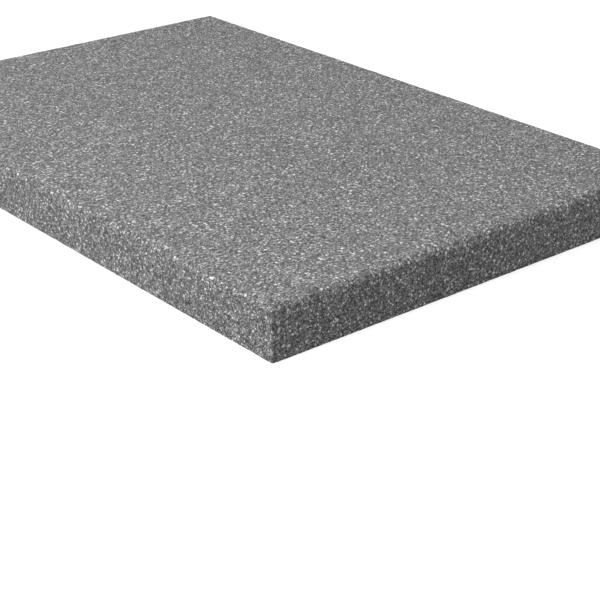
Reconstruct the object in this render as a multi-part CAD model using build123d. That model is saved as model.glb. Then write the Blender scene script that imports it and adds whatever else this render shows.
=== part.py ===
from build123d import *
import os

# Acoustic foam mat: one flat piece, cut from a block of open-cell foam.
# Sizes are in millimetres and +Z is up. The origin is the centre of the
# underside, with the width along X and the length along Y.

width = 200.0
length = 300.0
thickness = 20.0
upper_edge_radius = 3.0
corner_radius = 1.2
lower_edge_radius = 0.5


def corner_edges(mat):
    # The upright corners, and the mitres where the roundings made so far meet above or below them.
    return mat.edges().filter_by(Plane.XY, reverse=True)


def upper_edges(mat):
    return mat.edges().group_by(Axis.Z)[-1]


def lower_edges(mat):
    return mat.edges().group_by(Axis.Z)[0]


def foam_mat():
    mat = Box(width, length, thickness, align=(Align.CENTER, Align.CENTER, Align.MIN))
    roundings = [
        (corner_radius, corner_edges),
        (upper_edge_radius, upper_edges),
        (lower_edge_radius, lower_edges),
    ]
    # The widest rounding is cut first, and each finer one runs on through it at the corners.
    for radius, edges_to_round in sorted(roundings, key=lambda rounding: rounding[0], reverse=True):
        mat = fillet(edges_to_round(mat), radius)
    mat.label = "foam_mat"
    return mat


os.makedirs("parts", exist_ok=True)
export_step(foam_mat(), "parts/foam_mat.step")
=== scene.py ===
import bpy
import math
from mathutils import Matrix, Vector


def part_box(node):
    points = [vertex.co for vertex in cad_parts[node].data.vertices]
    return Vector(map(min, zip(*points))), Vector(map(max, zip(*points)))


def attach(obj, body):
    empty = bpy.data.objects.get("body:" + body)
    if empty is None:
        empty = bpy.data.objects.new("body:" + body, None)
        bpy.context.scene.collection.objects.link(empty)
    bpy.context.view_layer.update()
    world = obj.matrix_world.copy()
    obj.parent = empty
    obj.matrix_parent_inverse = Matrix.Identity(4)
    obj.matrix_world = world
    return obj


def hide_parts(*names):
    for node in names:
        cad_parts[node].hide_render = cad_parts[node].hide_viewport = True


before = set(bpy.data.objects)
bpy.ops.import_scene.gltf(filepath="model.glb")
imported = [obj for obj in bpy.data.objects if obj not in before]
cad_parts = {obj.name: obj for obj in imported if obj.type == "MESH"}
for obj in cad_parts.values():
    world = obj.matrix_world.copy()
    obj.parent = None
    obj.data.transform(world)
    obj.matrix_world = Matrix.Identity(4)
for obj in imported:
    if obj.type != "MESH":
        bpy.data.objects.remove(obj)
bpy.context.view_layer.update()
matLow, matHigh = [Vector(corner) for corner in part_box("foam_mat")]
print("frame loaded:", list(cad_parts))


def toLinear(hexColour):
    # an sRGB hex colour as the linear one that shaders and lamps take
    parts = [int(hexColour[i:i + 2], 16) / 255 for i in (1, 3, 5)]
    linear = [c / 12.92 if c <= 0.04045 else ((c + 0.055) / 1.055) ** 2.4 for c in parts]
    return (*linear, 1)


def addNode(tree, kind, settings=None, links=None):
    # settings: the node's own properties, or values of its sockets
    # links: the nodes or sockets that feed it
    node = tree.nodes.new(kind)
    for name, value in (settings or {}).items():
        if isinstance(name, str) and hasattr(node, name):
            setattr(node, name, value)
        else:
            node.inputs[name].default_value = value
    for name, source in (links or {}).items():
        feed = source.outputs[0] if hasattr(source, "outputs") else source
        tree.links.new(feed, node.inputs[name])
    return node


def newMaterial(name):
    material = bpy.data.materials.new(name)
    material.use_nodes = True
    material.node_tree.nodes.clear()
    return material, material.node_tree


# camera, fitted to the mat's straight edges in the picture, for a mat 20 mm thick
camera = {
    "place": (-0.3832, -0.5044, 0.2396),
    "heading": 50.23,      # degrees from +X towards +Y
    "down": 25.5,          # degrees below level
    "lens": 93.8,          # mm
    "sensor": 36,          # mm
    "clip": (0.01, 50),    # m, nearest and furthest that it sees
}


def makeCamera():
    data = bpy.data.cameras.new("camera")
    data.lens = camera["lens"]
    data.sensor_width = camera["sensor"]
    data.clip_start, data.clip_end = camera["clip"]
    obj = bpy.data.objects.new("camera", data)
    bpy.context.scene.collection.objects.link(obj)
    heading = math.radians(camera["heading"])
    down = math.radians(camera["down"])
    level = math.cos(down)
    forward = Vector((level * math.cos(heading), level * math.sin(heading), -math.sin(down)))
    obj.location = camera["place"]
    obj.rotation_euler = forward.to_track_quat("-Z", "Y").to_euler()
    bpy.context.scene.camera = obj


makeCamera()
print("camera placed")


# foam mat
foam = {
    "upperRadius": 0.003,     # m, as every length here
    "upperSteps": 5,
    "cornerPull": 0.00012,    # how far the upright corners are eased in, less than in the solid
    "footPull": 0.00005,      # how far the lower edge is eased in, far less than in the solid
    "widthCuts": (2, 100),    # the width is cut in 200 and the length in 300, a step of 1 mm
    "lengthCuts": (3, 100),
    "heightCuts": 17,
    "underThin": 0.66,        # share of the faces that is kept, all of the loss on the underside
    "underEdge": 0.002,       # strip of the underside that keeps its faces
    "swellSize": 0.005,       # width of the shallow hollows, given like their depth
    "swellDetail": 1,
    "swellDepth": 0.0002,
    "swellLevel": 0.5,        # half of it goes out and half in
    "jitter": 0.0001,         # how far a point of the torn surface strays
    "seed": 3,
    "crease": 50,             # degrees, past which an edge looks sharp
    "near": 0.00001,          # places closer than this are the same
}
unfolding = {
    "size": 0.344,            # m, the side of the square on which the mat is laid out flat
    "middle": 0.3547,         # where the upper face's centre lies across it, from 0 to 1
    "underMiddle": 0.852,     # and the underside's
    "acrossMiddle": 0.5,      # where both centres lie the other way
    "underScale": 0.48,       # the underside is drawn smaller, as nothing shows there
    "facesDown": -0.5,        # a face whose normal is lower than this belongs to the underside
}


def selectPoints(mesh, wanted):
    # picks vertices by their place, in object mode
    for item in (mesh.vertices, mesh.edges, mesh.polygons):
        item.foreach_set("select", [False] * len(item))
    for vertex in mesh.vertices:
        vertex.select = bool(wanted(vertex.co))


def selectEdges(mesh, wanted):
    # picks edges by their two ends, in object mode
    selectPoints(mesh, lambda place: False)
    for edge in mesh.edges:
        a, b = (mesh.vertices[i].co for i in edge.vertices)
        edge.select = bool(wanted(a, b))


def inEditMode(mode, operator, **settings):
    bpy.ops.object.mode_set(mode="EDIT")
    bpy.ops.mesh.select_mode(type=mode)
    operator(**settings)
    bpy.ops.object.mode_set(mode="OBJECT")


def unfold(mesh):
    # lays the upper face out flat with the four sides round it, and the underside beside them
    sheet = mesh.uv_layers[0]
    sheet.name = "OFBake"
    for face in mesh.polygons:
        out, centre = face.normal, face.center
        for loop in face.loop_indices:
            x, y, z = mesh.vertices[mesh.loops[loop].vertex_index].co
            deep = matHigh.z - z
            middle = unfolding["middle"]
            if out.z < unfolding["facesDown"]:
                middle = unfolding["underMiddle"]
                x, y = -x * unfolding["underScale"], y * unfolding["underScale"]
            elif abs(out.x) > abs(out.y):
                x += math.copysign(deep, centre.x)
            else:
                y += math.copysign(deep, centre.y)
            across = unfolding["acrossMiddle"] + y / unfolding["size"]
            sheet.data[loop].uv = (middle + x / unfolding["size"], across)


def cutAcross(mesh, axis, parts):
    # cuts the long edges that run along one axis into equal parts
    def along(a, b):
        reach = abs(a[axis] - b[axis])
        return reach > foam["upperRadius"] and (a - b).length - reach < foam["near"]

    selectEdges(mesh, along)
    inEditMode("EDGE", bpy.ops.mesh.subdivide, number_cuts=parts - 1)


def offSides(place):
    # how far a point is from the nearest side across X, and across Y
    return matHigh.x - abs(place.x), matHigh.y - abs(place.y)


def pullIn(mesh, wanted, distance):
    selectPoints(mesh, wanted)
    shrink = (1 - distance / matHigh.x, 1 - distance / matHigh.y, 1)
    inEditMode("VERT", bpy.ops.transform.resize, value=shrink, center_override=(0, 0, 0))


def makeFoam():
    near = foam["near"]
    bpy.ops.object.select_all(action="DESELECT")
    middle, size = (matLow + matHigh) / 2, matHigh - matLow
    bpy.ops.mesh.primitive_cube_add(size=1, location=middle, scale=size)
    mat = bpy.context.object
    mat.name = mat.data.name = "openCellFoamMat"
    bpy.ops.object.transform_apply(location=True, rotation=True, scale=True)
    mesh = mat.data

    # rolled rim round the top
    selectEdges(mesh, lambda a, b: min(a.z, b.z) > matHigh.z - near)
    inEditMode("EDGE", bpy.ops.mesh.bevel, affect="EDGES",
               offset=foam["upperRadius"], segments=foam["upperSteps"])
    unfold(mesh)

    # a grid of about 1 mm over the top and sides
    for parts in foam["widthCuts"]:
        cutAcross(mesh, 0, parts)
    for parts in foam["lengthCuts"]:
        cutAcross(mesh, 1, parts)
    cutAcross(mesh, 2, foam["heightCuts"])

    # upright corners and lower edge
    eased = foam["cornerPull"] + near
    pullIn(mesh, lambda place: max(offSides(place)) < near, foam["cornerPull"])
    pullIn(mesh, lambda place: place.z < near and min(offSides(place)) < eased, foam["footPull"])

    # fewer faces underneath
    inner = foam["underEdge"]
    low = [v.index for v in mesh.vertices if v.co.z < near and min(offSides(v.co)) > inner]
    under = mat.vertex_groups.new(name="underside")
    under.add(low, 1, "REPLACE")
    thin = mat.modifiers.new("thin the underside", "DECIMATE")
    thin.ratio = foam["underThin"]
    thin.vertex_group = under.name
    bpy.ops.object.modifier_apply(modifier=thin.name)

    # shallow hollows and torn points of the cut surface
    texture = bpy.data.textures.new("swell", "CLOUDS")
    texture.noise_scale = foam["swellSize"]
    texture.noise_depth = foam["swellDetail"]
    swell = mat.modifiers.new("swell", "DISPLACE")
    swell.texture = texture
    swell.texture_coords = "LOCAL"
    swell.strength = foam["swellDepth"]
    swell.mid_level = foam["swellLevel"]
    bpy.ops.object.modifier_apply(modifier=swell.name)
    selectPoints(mesh, lambda place: True)
    inEditMode("VERT", bpy.ops.transform.vertex_random,
               offset=foam["jitter"], uniform=0, normal=0, seed=foam["seed"])

    # nothing hangs below the floor
    selectPoints(mesh, lambda place: place.z < 0)
    inEditMode("VERT", bpy.ops.transform.resize, value=(1, 1, 0), center_override=(0, 0, 0))
    bpy.ops.object.shade_smooth_by_angle(angle=math.radians(foam["crease"]))
    return mat


mat = makeFoam()
triangles = sum(len(face.vertices) - 2 for face in mat.data.polygons)
print("mat modelled:", len(mat.data.polygons), "faces,", triangles, "triangles")


# The mat is polyurethane foam, blown as a block with open cells and cut with a band knife. The cut
# face is matt. Its colour holds painted shade in the open cells between fine struts, and bright dots
# that are partly paler polymer and partly painted glints where strut ends and torn skins catch the
# light.
# The sizes, contrasts, tilts and roughnesses here were fitted by search to the brightness, contrast and
# fineness of the picture's grain round the near corner. None was worked out from a real size of this
# foam, so they say nothing of how wide its cells are.
foamLook = {
    "grey": "#979797",        # of the struts' dyed polymer, before the patterns change it
    "cellSize": 0.0009,       # m, spacing of the dark pores
    "cellMiddle": 0.409,      # how far the dark middle of a pore reaches, in pores
    "cellRim": 0.623,         # where its lighter rim begins
    "poreShadeLevel": 0.18,        # painted shade in the middle of a pore, as a share of the grey
    "strut": 0.5,             # brightness of the struts
    "brightest": 0.95,        # no part is paler than this
    # bright dots, spacing in m and reach in spacings: a fine grit of paler polymer, then rarer and
    # brighter ones that are painted glints, where cut strut ends and torn skins would catch the light.
    "spots": [
        {"spacing": 0.000405, "outer": 2.0, "inner": 1.0,
         "gain": 1.42, "keen": 3.82, "tilt": 0.0},
        {"spacing": 0.0011, "outer": 0.409, "inner": 0.0937,
         "gain": 10.1, "keen": 5.38, "tilt": 0.722},
        {"spacing": 0.00194, "outer": 0.329, "inner": 0.0725,
         "gain": 14.7, "keen": 8.75, "tilt": 0.456},
    ],
    # unevenness of the whole, fine to broad, size in m
    "grains": [
        {"size": 0.000295, "detail": 1, "contrast": 2.86, "tilt": 1.1},
        {"size": 0.00155, "detail": 2, "contrast": 2.7, "tilt": 0.0},
        {"size": 0.00366, "detail": 1, "contrast": 1.32, "tilt": 0.0},
    ],
    "roughness": 0.809,       # dull polymer
    "skinRoughness": 0.274,   # the skins are smoother
    "specular": 0.379,        # a little under the usual 0.5
}


def makeFoamMaterial():
    material, tree = newMaterial("openCellPolyurethaneFoam")
    look = foamLook
    place = addNode(tree, "ShaderNodeTexCoord").outputs["Object"]
    lean = addNode(tree, "ShaderNodeNewGeometry").outputs["Normal"]

    def leanBy(lean, colour, reach, amount):
        # tips the surface towards a random colour, which stands for a direction
        away = addNode(tree, "ShaderNodeVectorMath",
                       {"operation": "SUBTRACT", 1: (0.5, 0.5, 0.5)}, {0: colour})
        far = addNode(tree, "ShaderNodeMath",
                      {"operation": "MULTIPLY", 0: 1, 1: 2 * amount}, {0: reach} if reach else None)
        return addNode(tree, "ShaderNodeVectorMath",
                       {"operation": "MULTIPLY_ADD"}, {0: away, 1: far, 2: lean})

    # open pores, with painted shade in the middle where one looks into the hollow
    cells = addNode(tree, "ShaderNodeTexVoronoi",
                    {"Scale": 1 / look["cellSize"]}, {"Vector": place})
    level = addNode(tree, "ShaderNodeMapRange",
                    {"interpolation_type": "SMOOTHSTEP",
                     "From Min": look["cellMiddle"], "From Max": look["cellRim"],
                     "To Min": look["poreShadeLevel"], "To Max": look["strut"]},
                    {"Value": cells.outputs["Distance"]})

    # bright dots, each as bright as its own random number: a fine grit of paler polymer, and in the
    # rarer layers painted glints of strut ends and torn skins, which also make the surface smoother and
    # tip it
    gritAndGlintMask = None
    for spot in look["spots"]:
        ends = addNode(tree, "ShaderNodeTexVoronoi",
                       {"Scale": 1 / spot["spacing"]}, {"Vector": place})
        dot = addNode(tree, "ShaderNodeMapRange",
                      {"From Min": spot["outer"], "From Max": spot["inner"]},
                      {"Value": ends.outputs["Distance"]})
        chance = addNode(tree, "ShaderNodeSeparateColor", None, {"Color": ends.outputs["Color"]})
        keen = addNode(tree, "ShaderNodeMath", {"operation": "POWER", 1: spot["keen"]}, {0: chance})
        gritAndPaintedGlint = addNode(tree, "ShaderNodeMath", {"operation": "MULTIPLY"}, {0: keen, 1: dot})
        level = addNode(tree, "ShaderNodeMath",
                        {"operation": "MULTIPLY_ADD", 1: spot["gain"]}, {0: gritAndPaintedGlint, 2: level})
        gritAndGlintMask = addNode(tree, "ShaderNodeMath",
                       {"operation": "MAXIMUM", 1: 0}, {0: gritAndPaintedGlint, 1: gritAndGlintMask} if gritAndGlintMask else {0: gritAndPaintedGlint})
        lean = leanBy(lean, ends.outputs["Color"], dot, spot["tilt"])

    # grain, a factor round 1 on all of it
    for grain in look["grains"]:
        noise = addNode(tree, "ShaderNodeTexNoise",
                        {"Scale": 1 / grain["size"], "Detail": grain["detail"]}, {"Vector": place})
        power = addNode(tree, "ShaderNodeMath",
                        {"operation": "MULTIPLY_ADD", 1: 2, 2: -1}, {0: noise})
        factor = addNode(tree, "ShaderNodeMath",
                         {"operation": "POWER", 0: grain["contrast"]}, {1: power})
        level = addNode(tree, "ShaderNodeMath", {"operation": "MULTIPLY"}, {0: level, 1: factor})
        if grain["tilt"]:
            lean = leanBy(lean, noise.outputs["Color"], None, grain["tilt"])

    # the colour: the grey times the level, which holds the painted shade of the pores and the painted
    # glints
    grey = toLinear(look["grey"])[:3]
    capped = addNode(tree, "ShaderNodeMath",
                     {"operation": "MINIMUM", 1: look["brightest"] / grey[0]}, {0: level})
    colour = addNode(tree, "ShaderNodeVectorMath",
                     {"operation": "SCALE", 0: grey}, {"Scale": capped})
    rough = addNode(tree, "ShaderNodeMapRange",
                    {"To Min": look["roughness"], "To Max": look["skinRoughness"]}, {"Value": gritAndGlintMask})
    normal = addNode(tree, "ShaderNodeVectorMath", {"operation": "NORMALIZE"}, {0: lean})
    shader = addNode(tree, "ShaderNodeBsdfPrincipled", {"Specular IOR Level": look["specular"]},
                     {"Base Color": colour, "Roughness": rough, "Normal": normal})
    addNode(tree, "ShaderNodeOutputMaterial", None, {"Surface": shader})
    return material


mat.data.materials.append(makeFoamMaterial())
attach(mat, "root")
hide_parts("foam_mat")
print("foam material made")


# studio. The lamp and the soft light were fitted by search to how bright the picture shows the mat's
# faces, near and far, and then by trial renders.
studio = {
    "floor": "#BCBCBC",
    "floorSize": 12,                      # m
    "floorDrop": 0.0001,                  # m, keeps the floor clear of the mat's own underside
    "floorGlow": 0.72,                    # what the camera sees on top of its own light
    "skyFrom": (0.69, 0.72, 0.0),         # the side from which the soft light is strongest
    "skyLow": 0.0,
    "skyHigh": 0.9,
    "keyFrom": (-0.71, -0.1, 0.7),
    "keyFar": 0.967,                      # m
    "keySize": 0.304,                     # m
    "keyWatts": 6.5,
}


def seenOnly(tree):
    # 1 for what the camera sees, straight or by a mirror or glass, and 0 for light on the object
    path = addNode(tree, "ShaderNodeLightPath")
    gloss = addNode(tree, "ShaderNodeMath", {"operation": "MAXIMUM"},
                    {0: path.outputs["Is Camera Ray"], 1: path.outputs["Is Glossy Ray"]})
    return addNode(tree, "ShaderNodeMath", {"operation": "MAXIMUM"},
                   {0: gloss, 1: path.outputs["Is Transmission Ray"]})


def makeFloor():
    bpy.ops.object.select_all(action="DESELECT")
    place = (0, 0, -studio["floorDrop"])
    bpy.ops.mesh.primitive_plane_add(size=studio["floorSize"], location=place)
    floor = bpy.context.object
    floor.name = "floor"
    material, tree = newMaterial("paleFloor")
    diffuse = addNode(tree, "ShaderNodeBsdfDiffuse", {"Color": toLinear(studio["floor"])})
    level = addNode(tree, "ShaderNodeMath",
                    {"operation": "MULTIPLY", 1: studio["floorGlow"]}, {0: seenOnly(tree)})
    glow = addNode(tree, "ShaderNodeEmission", {"Color": (1, 1, 1, 1)}, {"Strength": level})
    both = addNode(tree, "ShaderNodeAddShader", None, {0: diffuse, 1: glow})
    addNode(tree, "ShaderNodeOutputMaterial", None, {"Surface": both})
    floor.data.materials.append(material)


def makeSky():
    # a soft gradient for the light, and white where it is seen
    world = bpy.data.worlds.new("studioSky")
    bpy.context.scene.world = world
    world.use_nodes = True
    tree = world.node_tree
    tree.nodes.clear()
    towards = addNode(tree, "ShaderNodeTexCoord").outputs["Generated"]
    lit = addNode(tree, "ShaderNodeVectorMath",
                  {"operation": "DOT_PRODUCT", 1: studio["skyFrom"]}, {0: towards})
    soft = addNode(tree, "ShaderNodeMapRange",
                   {"From Min": -1, "From Max": 1,
                    "To Min": studio["skyLow"], "To Max": studio["skyHigh"]},
                   {"Value": lit.outputs["Value"]})
    level = addNode(tree, "ShaderNodeMapRange",
                    {"To Max": 1}, {"Value": seenOnly(tree), "To Min": soft})
    sky = addNode(tree, "ShaderNodeBackground", {"Color": (1, 1, 1, 1)}, {"Strength": level})
    addNode(tree, "ShaderNodeOutputWorld", None, {"Surface": sky})


def makeKey():
    light = bpy.data.lights.new("keySoftbox", "AREA")
    light.shape = "SQUARE"
    light.size = studio["keySize"]
    light.energy = studio["keyWatts"]
    obj = bpy.data.objects.new("keySoftbox", light)
    bpy.context.scene.collection.objects.link(obj)
    towards = Vector(studio["keyFrom"]).normalized()
    obj.location = towards * studio["keyFar"]
    obj.rotation_euler = (-towards).to_track_quat("-Z", "Y").to_euler()


makeFloor()
makeSky()
makeKey()
bpy.context.scene.view_settings.view_transform = "Standard"
print("studio lit")
